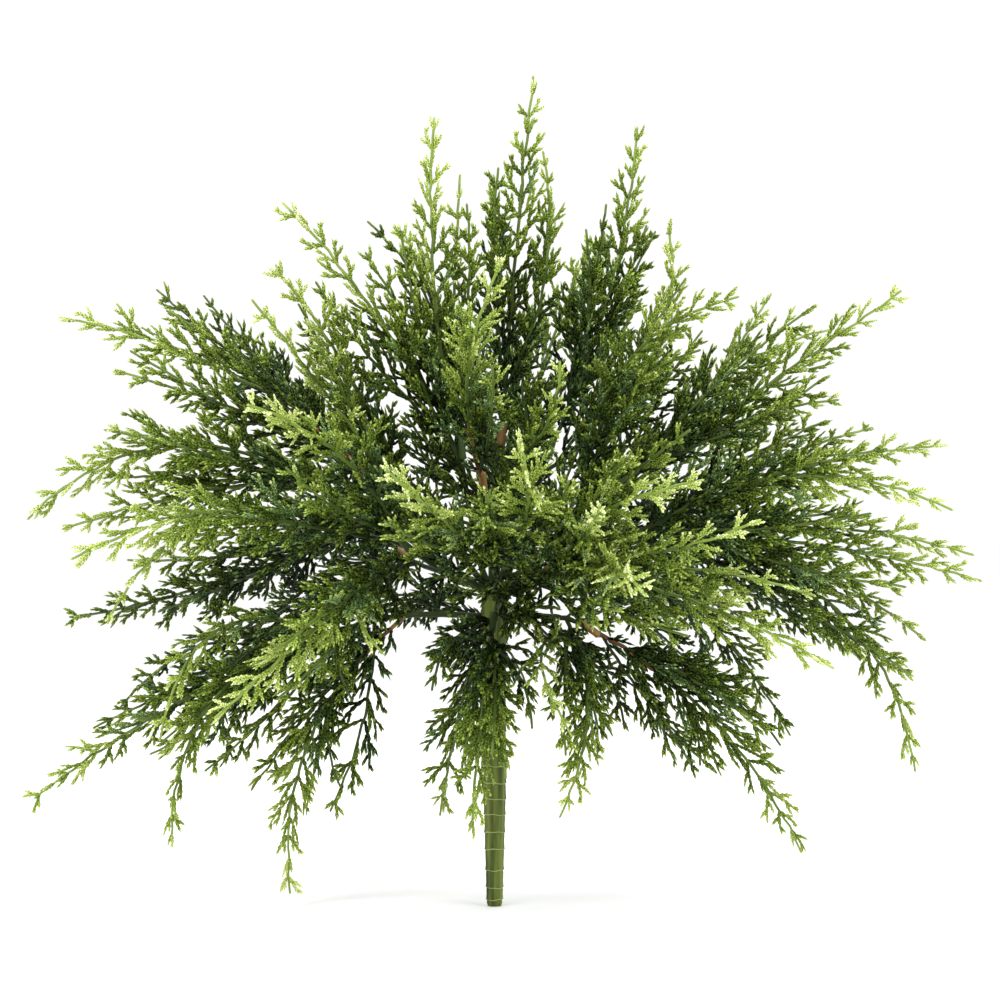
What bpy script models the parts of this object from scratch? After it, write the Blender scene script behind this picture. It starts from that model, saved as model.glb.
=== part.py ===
"""Artificial juniper bush: a ringed plastic stem, a head from which coated
wire boughs spread, and a mass of foliage for each group of sprays.

Metres, +Z up.  The origin is the centre of the flat cut under the stem.

Places are given on a drawing of the front view: column, row and depth, in
units of GRID, with the row counted downwards and the depth counted away from
the viewpoint.  at() turns such a place into a point, along the line of sight
from a viewpoint level with the middle of the crown.
"""

import math

import bmesh
import bpy
import numpy as np
from mathutils import Vector, noise

# ---------------------------------------------------------------- dimensions
GRID = 0.00045            # one unit of the front drawing
FOOT_COL, FOOT_ROW = 494.5, 905.5
EYE_COL, EYE_ROW = 500.0, 500.0
EYE_DISTANCE = 1.60

STEM_FOOT_R = 0.0031      # flat cut at the ground
STEM_LOW_R = 0.0034       # just above the chamfer
STEM_TOP_R = 0.0050
STEM_WIDE_Z = 0.050       # the taper ends here
STEM_TOP_Z = 0.1215
RING_LIP = 0.00028        # each segment hangs over the one under it
RING_ROWS = (899.5, 887.5, 870.0, 849.0, 832.0, 814.5, 799.0, 783.0, 766.0,
             749.0, 732.0, 715.0, 698.0, 681.0, 664.0, 647.0)
STEM_SIDES = 16

HEAD_LOW_Z = 0.1255       # the knob at the fork: a capsule on end
HEAD_HIGH_Z = 0.1405
HEAD_R = 0.0068
HEAD_COL = 493.0

BOUGH_ROOT_R = 0.00150    # coated wire
BOUGH_TIP_R = 0.00095
BOUGH_POINTS = 8
BOUGH_SHARE = 0.62        # of the way to the places below: the foliage hides the rest
GAP = 0.0003              # between touching solids

MASS_RINGS = 9
MASS_SIDES = 8
MASS_ROOT_R = 0.0022
FULLNESS = 1.45
MASS_CLEAR = 0.0030       # between the masses of neighbouring sprays
LIMB_CLEAR = 0.0012       # between a mass and a limb that passes it
GROUND_CLEAR = 0.0030

# ------------------------------------------------------------------- layout
# boughs: where each wire ends (column, row, depth)
BOUGHS = {
    "bough_top": (508, 330, 10),
    "bough_top_left": (440, 352, -60),
    "bough_top_right": (588, 352, 40),
    "bough_front_high": (476, 405, -190),
    "bough_left_high": (300, 412, 20),
    "bough_left": (262, 452, -20),
    "bough_left_low": (262, 652, 5),
    "bough_front_left": (345, 510, -190),
    "bough_front": (515, 540, -230),
    "bough_front_right": (590, 548, -185),
    "bough_right_high": (700, 415, 20),
    "bough_right": (752, 500, 5),
    "bough_right_low": (652, 652, -20),
    "bough_front_droop": (493, 645, -110),
    "bough_back_high": (500, 425, 180),
    "bough_back_left": (350, 530, 190),
    "bough_back_right": (640, 530, 190),
    "bough_back_droop": (478, 655, 105),
}

# masses of foliage: bough, place along it, a place half way, the tip, and
# the widest half width in grid units
MASSES = {
    "foliage_top": ("bough_top", 1.0, (520, 205, 5), (533, 77, 0), 40),
    "foliage_top_left": ("bough_top_left", 1.0, (431, 225, -90), (434, 118, -100), 38),
    "foliage_upper_left": ("bough_top_left", 0.80, (355, 286, -105), (283, 203, -130), 40),
    "foliage_top_right": ("bough_top_right", 1.0, (622, 238, 60), (637, 128, 70), 42),
    "foliage_upper_right": ("bough_top_right", 0.78, (668, 318, 130), (668, 228, 190), 36),
    "foliage_front_high": ("bough_front_high", 1.0, (476, 332, -265), (501, 262, -310), 42),
    "foliage_left_high": ("bough_left_high", 1.0, (185, 352, 25), (62, 318, 25), 46),
    "foliage_left_high_back": ("bough_left_high", 0.78, (222, 345, 150), (157, 290, 200), 40),
    "foliage_left_high_front": ("bough_left_high", 0.70, (318, 325, -140), (276, 270, -190), 42),
    "foliage_left": ("bough_left", 1.0, (138, 452, -45), (28, 519, -55), 44),
    "foliage_left_back": ("bough_left", 0.80, (158, 600, 120), (70, 617, 165), 44),
    "foliage_left_low": ("bough_left_low", 1.0, (135, 728, 10), (35, 798, 20), 42),
    "foliage_left_low_front": ("bough_left_low", 0.86, (188, 745, -105), (172, 846, -110), 36),
    "foliage_left_droop": ("bough_left_low", 0.55, (304, 755, -15), (290, 893, -15), 42),
    "foliage_front_left_high": ("bough_front_left", 1.0, (305, 430, -290), (248, 405, -360), 42),
    "foliage_front_left": ("bough_front_left", 0.92, (195, 515, -225), (72, 559, -250), 46),
    "foliage_front_left_low": ("bough_front_left", 0.80, (285, 655, -270), (215, 718, -310), 46),
    "foliage_front_upper": ("bough_front", 0.90, (425, 505, -340), (385, 470, -420), 42),
    "foliage_front": ("bough_front", 1.0, (528, 488, -345), (520, 440, -440), 44),
    "foliage_front_right_high": ("bough_front_right", 1.0, (630, 500, -320), (703, 480, -375), 44),
    "foliage_front_right": ("bough_front_right", 0.88, (618, 572, -330), (640, 590, -430), 42),
    "foliage_front_right_low": ("bough_front_right", 0.70, (722, 612, -235), (833, 668, -270), 44),
    "foliage_right_high": ("bough_right_high", 1.0, (815, 352, 20), (901, 291, 20), 44),
    "foliage_right_high_back": ("bough_right_high", 0.80, (735, 352, 150), (768, 296, 200), 42),
    "foliage_right_high_front": ("bough_right_high", 0.66, (668, 326, -150), (738, 297, -200), 42),
    "foliage_right": ("bough_right", 1.0, (880, 556, -5), (981, 581, -15), 42),
    "foliage_right_front": ("bough_right", 0.90, (862, 480, -90), (952, 510, -115), 40),
    "foliage_right_back": ("bough_right", 0.84, (865, 455, 95), (943, 445, 115), 42),
    "foliage_right_low": ("bough_right", 0.76, (868, 645, 60), (915, 771, 70), 42),
    "foliage_right_droop": ("bough_right_low", 1.0, (735, 745, -45), (801, 852, -55), 46),
    "foliage_front_droop_right": ("bough_right_low", 0.66, (588, 712, -70), (560, 817, -85), 38),
    "foliage_front_droop": ("bough_front_droop", 1.0, (480, 730, -140), (472, 827, -140), 38),
    "foliage_back_high_left": ("bough_back_high", 1.0, (440, 320, 260), (405, 235, 300), 46),
    "foliage_back_high_right": ("bough_back_high", 0.92, (560, 320, 260), (590, 240, 300), 46),
    "foliage_back": ("bough_back_high", 0.70, (500, 500, 350), (492, 455, 450), 48),
    "foliage_back_left": ("bough_back_left", 1.0, (280, 455, 300), (205, 410, 350), 48),
    "foliage_back_left_low": ("bough_back_left", 0.80, (265, 640, 260), (190, 725, 280), 46),
    "foliage_back_right": ("bough_back_right", 1.0, (715, 455, 300), (795, 400, 340), 48),
    "foliage_back_right_low": ("bough_back_right", 0.80, (725, 640, 250), (790, 735, 260), 46),
    "foliage_back_droop": ("bough_back_droop", 1.0, (452, 745, 145), (440, 815, 155), 40),
}

# smaller sprays that stand out from a mass: a place half way and the tip;
# the mass is drawn out to take them in
SIDE_SPRAYS = {
    "foliage_top": [((550, 225, -40), (543, 152, -60))],
    "foliage_upper_left": [((405, 262, -60), (368, 222, -60))],
    "foliage_top_right": [((640, 262, 60), (655, 232, 60))],
    "foliage_front_high": [((545, 430, -260), (558, 365, -320))],
    "foliage_left": [((150, 503, -10), (63, 529, -10))],
    "foliage_left_low": [((205, 700, 40), (138, 678, 60))],
    "foliage_left_droop": [((322, 720, -20), (340, 790, -20))],
    "foliage_right_droop": [((705, 690, 0), (768, 680, 10))],
    "foliage_right_high": [((760, 415, 20), (835, 400, 20))],
    "foliage_right": [((850, 530, 10), (973, 555, 10))],
    "foliage_right_low": [((870, 600, 60), (925, 640, 60))],
}


# ------------------------------------------------------------------ geometry
def at(col, row, depth):
    """A place on the front drawing, at a depth, as a point."""
    eye = Vector(((EYE_COL - FOOT_COL) * GRID, -EYE_DISTANCE, (FOOT_ROW - EYE_ROW) * GRID))
    flat = Vector(((col - FOOT_COL) * GRID, 0.0, (FOOT_ROW - row) * GRID))
    return eye + (flat - eye) * ((EYE_DISTANCE + depth * GRID) / EYE_DISTANCE)


def through(a, mid, b, n):
    """n points on the curve that leaves a, passes mid and ends at b."""
    m = (mid - a).length / ((mid - a).length + (b - mid).length)
    pull = (mid - a * (1 - m) ** 2 - b * m * m) / (2 * m * (1 - m))
    out = []
    for i in range(n):
        t = i / (n - 1)
        out.append(a * (1 - t) ** 2 + pull * 2 * t * (1 - t) + b * t * t)
    return out


def bent(a, da, b, db, n):
    """n points on a cubic from a along da to b arriving along db."""
    reach = (b - a).length
    c1, c2 = a + da * reach * 0.36, b - db * reach * 0.32
    out = []
    for i in range(n):
        t = i / (n - 1)
        s = 1 - t
        out.append(a * s ** 3 + c1 * 3 * s * s * t + c2 * 3 * s * t * t + b * t ** 3)
    return out


def along(points, s):
    """The point at fraction s of a polyline, and the direction there."""
    f = min(max(s, 0.0), 1.0) * (len(points) - 1)
    i = min(int(f), len(points) - 2)
    d = (points[i + 1] - points[i]).normalized()
    return points[i].lerp(points[i + 1], f - i), d


def head_point(p):
    """The nearest place on the knob's surface, and its outward normal."""
    x0 = (HEAD_COL - FOOT_COL) * GRID
    core = Vector((x0, 0.0, min(max(p.z, HEAD_LOW_Z), HEAD_HIGH_Z)))
    n = (p - core).normalized()
    return core + n * HEAD_R, n


def bough_roots(ends):
    """Where each bough leaves the knob: towards its end, then spread apart."""
    names = list(ends)
    centre = Vector(((HEAD_COL - FOOT_COL) * GRID, 0.0, (HEAD_LOW_Z + HEAD_HIGH_Z) / 2))
    spots = []
    for name in names:
        d = (ends[name] - centre).normalized()
        lift = 0.25 if d.z > -0.1 else 0.0
        spots.append(head_point(centre + (d + Vector((0, 0, lift))).normalized() * 0.02)[0])
    apart = 2 * BOUGH_ROOT_R + 4 * GAP
    for _ in range(200):
        for i in range(len(spots)):
            for j in range(i):
                gap = spots[i] - spots[j]
                if gap.length < apart:
                    push = gap.normalized() * (apart - gap.length) * 0.5
                    spots[i] = spots[i] + push
                    spots[j] = spots[j] - push
        spots = [head_point(p)[0] for p in spots]
    return dict(zip(names, spots))


def stem_profile():
    """The stem's outer side, top to bottom, with a lip at each ring."""
    def radius(z):
        t = min(z / STEM_WIDE_Z, 1.0)
        return STEM_LOW_R + (STEM_TOP_R - STEM_LOW_R) * t

    side = [(0.0, STEM_TOP_Z), (STEM_TOP_R, STEM_TOP_Z)]
    for row in sorted(RING_ROWS):
        z = (FOOT_ROW - row) * GRID
        side.append((radius(z) + RING_LIP, z + 0.0002))
        side.append((radius(z) - RING_LIP * 0.4, z - 0.0002))
    side += [(STEM_FOOT_R, 0.0), (0.0, 0.0)]
    return side


# ----------------------------------------------------------------- modelling
for old in list(bpy.data.objects):
    bpy.data.objects.remove(old, do_unlink=True)

parts = bpy.data.collections.new("artificial_juniper_bush")
bpy.context.scene.collection.children.link(parts)


def material(name, colour, roughness):
    mat = bpy.data.materials.new(name)
    mat.use_nodes = True
    shader = mat.node_tree.nodes["Principled BSDF"]
    shader.inputs["Base Color"].default_value = (*colour, 1.0)
    shader.inputs["Roughness"].default_value = roughness
    shader.inputs["Metallic"].default_value = 0.0
    mat.diffuse_color = (*colour, 1.0)
    return mat


def add(name, data, mat):
    ob = bpy.data.objects.new(name, data)
    data.materials.append(mat)
    parts.objects.link(ob)
    return ob


def smooth(ob, degrees=50):
    ob.data.shade_smooth()
    ob.data.set_sharp_from_angle(angle=math.radians(degrees))


# stem: a turned profile
profile = bpy.data.meshes.new("stem")
points = stem_profile()
profile.from_pydata([(r, 0.0, z) for r, z in points],
                    [(i, i + 1) for i in range(len(points) - 1)], [])
stem = add("stem", profile, material("stem", (0.115, 0.165, 0.050), 0.45))
turn = stem.modifiers.new("turn", "SCREW")
turn.axis = "Z"
turn.angle = math.tau
turn.steps = turn.render_steps = STEM_SIDES
turn.use_merge_vertices = True
turn.merge_threshold = 0.00005
turn.use_normal_calculate = True

# knob at the fork: a turned capsule standing on the stem
knob_points = [(0.0, HEAD_HIGH_Z + HEAD_R - 0.0006)]
for i in range(1, 4):
    a = math.radians(90 - 30 * i)
    knob_points.append((HEAD_R * math.cos(a) - 0.0006, HEAD_HIGH_Z + (HEAD_R - 0.0006) * math.sin(a)))
knob_points += [(HEAD_R - 0.0006, HEAD_LOW_Z), (STEM_TOP_R, STEM_TOP_Z + GAP), (0.0, STEM_TOP_Z + GAP)]
knob_mesh = bpy.data.meshes.new("knob")
knob_mesh.from_pydata([(r, 0.0, z) for r, z in knob_points],
                      [(i, i + 1) for i in range(len(knob_points) - 1)], [])
knob = add("fork_knob", knob_mesh, material("fork_knob", (0.075, 0.120, 0.045), 0.5))
knob.location.x = (HEAD_COL - FOOT_COL) * GRID
turn = knob.modifiers.new("turn", "SCREW")
turn.axis = "Z"
turn.angle = math.tau
turn.steps = turn.render_steps = STEM_SIDES
turn.use_merge_vertices = True
turn.merge_threshold = 0.00005
turn.use_normal_calculate = True

# boughs: tapering coated wires
fork = Vector(((HEAD_COL - FOOT_COL) * GRID, 0.0, HEAD_HIGH_Z))
ends = {name: fork.lerp(at(*place), BOUGH_SHARE) for name, place in BOUGHS.items()}
roots = bough_roots(ends)
bough_paths = {}
for name, end in ends.items():
    root, normal = roots[name], head_point(roots[name])[1]
    lead = [m for m in MASSES.values() if m[0] == name and m[1] == 1.0]
    arrive = (at(*lead[0][2]) - end).normalized()
    start = (normal + (end - root).normalized() * 0.35 + Vector((0, 0, 0.15))).normalized()
    bough_paths[name] = bent(root + normal * GAP, start, end, arrive, BOUGH_POINTS)

bark = material("bough", (0.040, 0.085, 0.030), 0.5)
for name, path in bough_paths.items():
    curve = bpy.data.curves.new(name, "CURVE")
    curve.dimensions = "3D"
    curve.bevel_depth = 1.0
    curve.bevel_resolution = 2
    curve.use_fill_caps = True
    spline = curve.splines.new("POLY")
    spline.points.add(len(path) - 1)
    for i, p in enumerate(path):
        spline.points[i].co = (*p, 1.0)
        f = i / (len(path) - 1)
        spline.points[i].radius = BOUGH_ROOT_R + (BOUGH_TIP_R - BOUGH_ROOT_R) * f
    add(name, curve, bark.copy())

# axes of the masses, each from its bough
FINE = 15
axes, skeleton = {}, {}
for name, (bough, s, mid, tip, half) in MASSES.items():
    place, direction = along(bough_paths[bough], s)
    mid_p, tip_p = at(*mid), at(*tip)
    if s == 1.0:
        root = bough_paths[bough][-1] + direction * GAP * 1.5
    else:
        aside = mid_p - place
        aside = (aside - direction * aside.dot(direction)).normalized()
        root = place + aside * (BOUGH_ROOT_R + 0.0016) + direction * 0.001
    axes[name] = through(root, mid_p, tip_p, FINE)
    skeleton[name] = [(axes[name], half * GRID)]
    for side_mid, side_tip in SIDE_SPRAYS.get(name, []):
        start = along(axes[name], 0.15)[0]
        skeleton[name].append((through(start, at(*side_mid), at(*side_tip), FINE), half * GRID * 0.62))


def width(t):
    """Half width along a spray as a share of its widest."""
    rise = min(t / 0.22, 1.0) ** 0.7
    fall = max((1.0 - t) / 0.62, 0.0)
    return FULLNESS * rise * min(fall, 1.0) ** 1.05


# every spray's axis as points with the half width there, for the spacing
cloud_p, cloud_w, cloud_owner = [], [], []
mass_names = list(MASSES)
for k, name in enumerate(mass_names):
    for path, half in skeleton[name]:
        for i, p in enumerate(path):
            t = i / (len(path) - 1)
            cloud_p.append(p)
            cloud_w.append(max(half * width(t), 0.0015))
            cloud_owner.append(k)
cloud_p, cloud_w, cloud_owner = np.array(cloud_p), np.array(cloud_w), np.array(cloud_owner)

limb_p, limb_r, limb_owner = [], [], []
for name, path in bough_paths.items():
    for i in range(41):
        limb_p.append(along(path, i / 40)[0])
        limb_r.append(BOUGH_ROOT_R)
        limb_owner.append(name)
for i in range(60):
    limb_p.append(Vector((0, 0, i / 59 * STEM_TOP_Z)))
    limb_r.append(STEM_TOP_R + RING_LIP)
    limb_owner.append("stem")
limb_p, limb_r = np.array(limb_p), np.array(limb_r)


def close_by(points, k):
    """Which of the points lie near enough to mass k's sprays to matter."""
    own = cloud_p[cloud_owner == k]
    return np.linalg.norm(points[:, None, :] - own[None], axis=2).min(axis=1) < 0.055


near_mass = []
for k in range(len(mass_names)):
    own, near, limb = cloud_owner == k, close_by(cloud_p, k), close_by(limb_p, k)
    near_mass.append(((cloud_p[own], cloud_w[own]), (cloud_p[near & ~own], cloud_w[near & ~own]),
                      (limb_p[limb], limb_r[limb])))


def spacing(k, points):
    """For each point: how far it is outside mass k's own sprays, how far
    outside its neighbours' sprays, and how far from any limb."""
    points = np.asarray(points)
    found = []
    for at_p, size in near_mass[k]:
        if len(at_p) == 0:
            found.append(np.full(len(points), 1.0))
            continue
        found.append((np.linalg.norm(points[:, None, :] - at_p[None], axis=2) - size[None]).min(axis=1))
    return found


def room(k, origin, direction, limit):
    """How far a mass may reach from its axis along a direction."""
    steps = np.arange(0.0008, max(limit, 0.0016) * 1.35, 0.0007)
    points = origin + steps[:, None] * direction
    mine, other, limb = spacing(k, points)
    stop = (mine > 0.0) | (other < mine + MASS_CLEAR) | (limb < LIMB_CLEAR) | (points[:, 2] < GROUND_CLEAR)
    first = int(np.argmax(stop)) if stop.any() else len(steps)
    return float(steps[first - 1]) if first > 0 else 0.0006


def crossing(k, points):
    """Whether points on mass k have come too near a neighbour or a limb."""
    mine, other, limb = spacing(k, points)
    return ((other < mine + MASS_CLEAR * 0.5) | (limb < LIMB_CLEAR * 0.5)
            | (np.asarray(points)[:, 2] < GROUND_CLEAR * 0.5))


def sides(i):
    """The two triangles over each side between ring i and the next."""
    for j in range(MASS_SIDES):
        m = (j + 1) % MASS_SIDES
        if i % 2 == 0:
            yield (i, j), (i, m), (i + 1, j)
            yield (i, m), (i + 1, m), (i + 1, j)
        else:
            yield (i, j), (i + 1, m), (i + 1, j)
            yield (i, j), (i, m), (i + 1, m)


def loft(k):
    """Centres, outward directions and reaches of mass k's rings."""
    name = mass_names[k]
    s, half = MASSES[name][1], MASSES[name][4] * GRID
    path = axes[name]
    centres, outs, reaches = [], [], []
    frame_x = None
    for i in range(MASS_RINGS):
        t = (i / MASS_RINGS) ** 0.92
        centre, d = along(path, t)
        if frame_x is None:
            frame_x = d.orthogonal().normalized()
        frame_x = (frame_x - d * frame_x.dot(d)).normalized()
        frame_y = d.cross(frame_x)
        ring, row = [], []
        for j in range(MASS_SIDES):
            a = math.tau * (j + 0.5 * (i % 2)) / MASS_SIDES
            out = frame_x * math.cos(a) + frame_y * math.sin(a)
            if i == 0:
                reach = MASS_ROOT_R if s == 1.0 else 0.0012
            else:
                reach = room(k, np.array(centre), np.array(out), half * width(t) * 1.3)
                lump = noise.noise(Vector((centre + out * half) * 95.0) + Vector((k * 3.1, 0, 0)))
                reach *= 0.84 + 0.34 * min(max(lump, -1.0), 0.45)
            ring.append(out)
            row.append(max(reach, 0.0008))
        centres.append(centre)
        outs.append(ring)
        reaches.append(row)
    # draw in the corners of any face that bulges into a neighbour
    faces = [corners for i in range(MASS_RINGS - 1) for corners in sides(i)]
    for _ in range(16):
        tries = []
        for corners in faces:
            p, q, r = (np.array(centres[a] + outs[a][b] * reaches[a][b]) for a, b in corners)
            tries += [(p * a + q * b + r * (4 - a - b)) / 4
                      for a in range(5) for b in range(5 - a) if max(a, b, 4 - a - b) < 4]
        bad = crossing(k, tries).reshape(len(faces), -1).any(axis=1)
        tight = {c for corners, out in zip(faces, bad) if out for c in corners if c[0] > 0}
        if not tight:
            break
        for a, b in tight:
            reaches[a][b] = max(reaches[a][b] * 0.88, 0.0008)
        faces = [corners for corners in faces if tight.intersection(corners)]
    return centres, outs, reaches


greens = ((0.085, 0.190, 0.070), (0.120, 0.250, 0.075), (0.165, 0.310, 0.090),
          (0.060, 0.150, 0.065), (0.230, 0.370, 0.110))
for k, name in enumerate(mass_names):
    centres, outs, reaches = loft(k)
    bm = bmesh.new()
    rows = [[bm.verts.new(c + o * r) for o, r in zip(ring, row)]
            for c, ring, row in zip(centres, outs, reaches)]
    tip = bm.verts.new(axes[name][-1])
    bm.faces.new(list(reversed(rows[0])))
    for i in range(MASS_RINGS - 1):
        for corners in sides(i):
            bm.faces.new([rows[a][b] for a, b in corners])
    for j in range(MASS_SIDES):
        bm.faces.new((rows[-1][j], rows[-1][(j + 1) % MASS_SIDES], tip))
    bmesh.ops.recalc_face_normals(bm, faces=bm.faces)
    mesh = bpy.data.meshes.new(name)
    bm.to_mesh(mesh)
    bm.free()
    ob = add(name, mesh, material(name, greens[k % len(greens)], 0.6))
    smooth(ob, 60)
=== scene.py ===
"""Artificial juniper bush: moulded scale-leaved sprays on coated wires that
spread from a ringed plastic stem.

The layout (boughs, axes of the sprays) is worked out as in the solid model,
and every spray is grown along its axis by a seeded branching rule.
"""

import math
import random

import bpy
import numpy as np
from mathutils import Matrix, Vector, noise


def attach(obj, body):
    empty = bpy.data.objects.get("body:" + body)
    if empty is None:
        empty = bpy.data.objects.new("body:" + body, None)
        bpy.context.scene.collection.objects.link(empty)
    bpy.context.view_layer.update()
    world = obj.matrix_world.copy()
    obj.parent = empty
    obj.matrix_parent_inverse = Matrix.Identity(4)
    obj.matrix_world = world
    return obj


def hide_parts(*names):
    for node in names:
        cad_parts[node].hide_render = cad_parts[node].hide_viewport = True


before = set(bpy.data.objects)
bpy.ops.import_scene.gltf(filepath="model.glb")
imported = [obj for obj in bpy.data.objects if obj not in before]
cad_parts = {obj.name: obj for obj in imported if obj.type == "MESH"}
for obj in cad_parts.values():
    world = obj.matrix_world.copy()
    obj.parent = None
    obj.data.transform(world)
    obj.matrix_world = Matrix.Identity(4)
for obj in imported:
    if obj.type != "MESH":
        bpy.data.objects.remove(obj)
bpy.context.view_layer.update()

# ------------------------------------------------------------------- layout
GRID = 0.00045
FOOT_COL, FOOT_ROW = 494.5, 905.5
EYE_COL, EYE_ROW = 500.0, 500.0
EYE_DISTANCE = 1.60

STEM_FOOT_R, STEM_LOW_R, STEM_TOP_R = 0.0031, 0.0034, 0.0050
STEM_WIDE_Z, STEM_TOP_Z = 0.050, 0.1215
RING_ROWS = (899.5, 887.5, 870.0, 849.0, 832.0, 814.5, 799.0, 783.0, 766.0,
             749.0, 732.0, 715.0, 698.0, 681.0, 664.0, 647.0)
HEAD_LOW_Z, HEAD_HIGH_Z, HEAD_R, HEAD_COL = 0.1255, 0.1405, 0.0068, 493.0
BOUGH_ROOT_R, BOUGH_TIP_R, BOUGH_SHARE, GAP = 0.00150, 0.00095, 0.62, 0.0003

BOUGHS = {
    "bough_top": (508, 330, 10),
    "bough_top_left": (440, 352, -60),
    "bough_top_right": (588, 352, 40),
    "bough_front_high": (476, 405, -190),
    "bough_left_high": (300, 412, 20),
    "bough_left": (262, 452, -20),
    "bough_left_low": (262, 652, 5),
    "bough_front_left": (345, 510, -190),
    "bough_front": (515, 540, -230),
    "bough_front_right": (590, 548, -185),
    "bough_right_high": (700, 415, 20),
    "bough_right": (752, 500, 5),
    "bough_right_low": (652, 652, -20),
    "bough_front_droop": (493, 645, -110),
    "bough_back_high": (500, 425, 180),
    "bough_back_left": (350, 530, 190),
    "bough_back_right": (640, 530, 190),
    "bough_back_droop": (478, 655, 105),
}

MASSES = {
    "foliage_top": ("bough_top", 1.0, (520, 205, 5), (533, 77, 0), 40),
    "foliage_top_left": ("bough_top_left", 1.0, (431, 225, -90), (434, 118, -100), 38),
    "foliage_upper_left": ("bough_top_left", 0.80, (355, 286, -105), (283, 203, -130), 40),
    "foliage_top_right": ("bough_top_right", 1.0, (622, 238, 60), (637, 128, 70), 42),
    "foliage_upper_right": ("bough_top_right", 0.78, (668, 318, 130), (668, 228, 190), 36),
    "foliage_front_high": ("bough_front_high", 1.0, (476, 332, -265), (501, 262, -310), 42),
    "foliage_left_high": ("bough_left_high", 1.0, (185, 352, 25), (62, 318, 25), 46),
    "foliage_left_high_back": ("bough_left_high", 0.78, (222, 345, 150), (157, 290, 200), 40),
    "foliage_left_high_front": ("bough_left_high", 0.70, (318, 325, -140), (276, 270, -190), 42),
    "foliage_left": ("bough_left", 1.0, (138, 452, -45), (28, 519, -55), 44),
    "foliage_left_back": ("bough_left", 0.80, (158, 600, 120), (70, 617, 165), 44),
    "foliage_left_low": ("bough_left_low", 1.0, (135, 728, 10), (35, 798, 20), 42),
    "foliage_left_low_front": ("bough_left_low", 0.86, (188, 745, -105), (172, 846, -110), 36),
    "foliage_left_droop": ("bough_left_low", 0.55, (304, 755, -15), (290, 893, -15), 42),
    "foliage_front_left_high": ("bough_front_left", 1.0, (305, 430, -290), (248, 405, -360), 42),
    "foliage_front_left": ("bough_front_left", 0.92, (195, 515, -225), (72, 559, -250), 46),
    "foliage_front_left_low": ("bough_front_left", 0.80, (285, 655, -270), (215, 718, -310), 46),
    "foliage_front_upper": ("bough_front", 0.90, (425, 505, -340), (385, 470, -420), 42),
    "foliage_front": ("bough_front", 1.0, (528, 488, -345), (520, 440, -440), 44),
    "foliage_front_right_high": ("bough_front_right", 1.0, (630, 500, -320), (703, 480, -375), 44),
    "foliage_front_right": ("bough_front_right", 0.88, (618, 572, -330), (640, 590, -430), 42),
    "foliage_front_right_low": ("bough_front_right", 0.70, (722, 612, -235), (833, 668, -270), 44),
    "foliage_right_high": ("bough_right_high", 1.0, (815, 352, 20), (901, 291, 20), 44),
    "foliage_right_high_back": ("bough_right_high", 0.80, (735, 352, 150), (768, 296, 200), 42),
    "foliage_right_high_front": ("bough_right_high", 0.66, (668, 326, -150), (738, 297, -200), 42),
    "foliage_right": ("bough_right", 1.0, (880, 556, -5), (981, 581, -15), 42),
    "foliage_right_front": ("bough_right", 0.90, (862, 480, -90), (952, 510, -115), 40),
    "foliage_right_back": ("bough_right", 0.84, (865, 455, 95), (943, 445, 115), 42),
    "foliage_right_low": ("bough_right", 0.76, (868, 645, 60), (915, 771, 70), 42),
    "foliage_right_droop": ("bough_right_low", 1.0, (735, 745, -45), (801, 852, -55), 46),
    "foliage_front_droop_right": ("bough_right_low", 0.66, (588, 712, -70), (560, 817, -85), 38),
    "foliage_front_droop": ("bough_front_droop", 1.0, (480, 730, -140), (472, 827, -140), 38),
    "foliage_back_high_left": ("bough_back_high", 1.0, (440, 320, 260), (405, 235, 300), 46),
    "foliage_back_high_right": ("bough_back_high", 0.92, (560, 320, 260), (590, 240, 300), 46),
    "foliage_back": ("bough_back_high", 0.70, (500, 500, 350), (492, 455, 450), 48),
    "foliage_back_left": ("bough_back_left", 1.0, (280, 455, 300), (205, 410, 350), 48),
    "foliage_back_left_low": ("bough_back_left", 0.80, (265, 640, 260), (190, 725, 280), 46),
    "foliage_back_right": ("bough_back_right", 1.0, (715, 455, 300), (795, 400, 340), 48),
    "foliage_back_right_low": ("bough_back_right", 0.80, (725, 640, 250), (790, 735, 260), 46),
    "foliage_back_droop": ("bough_back_droop", 1.0, (452, 745, 145), (440, 815, 155), 40),
}

# how light a spray is: (inside, outside) on the palette's scale of 0 to 1; the dark inside is partly the darker paint
# and partly painted shade
LIGHT, MIDDLE, DARK, COOL = (0.10, 0.75), (0.07, 0.64), (0.00, 0.38), (0.05, 0.52)
TONES = {
    "foliage_left_high_back": DARK, "foliage_left_back": DARK,
    "foliage_top_right": MIDDLE, "foliage_top": MIDDLE, "foliage_right_high_back": MIDDLE,
    "foliage_right_high_front": MIDDLE, "foliage_front_droop": MIDDLE,
    "foliage_right_droop": MIDDLE, "foliage_right_low": MIDDLE,
    "foliage_left_low_front": MIDDLE, "foliage_left_low": MIDDLE,
    "foliage_back_high_left": MIDDLE, "foliage_back_high_right": MIDDLE,
    "foliage_back": MIDDLE, "foliage_back_left": MIDDLE, "foliage_back_left_low": DARK,
    "foliage_back_right": MIDDLE, "foliage_back_right_low": DARK,
    "foliage_back_droop": MIDDLE,
}

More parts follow.
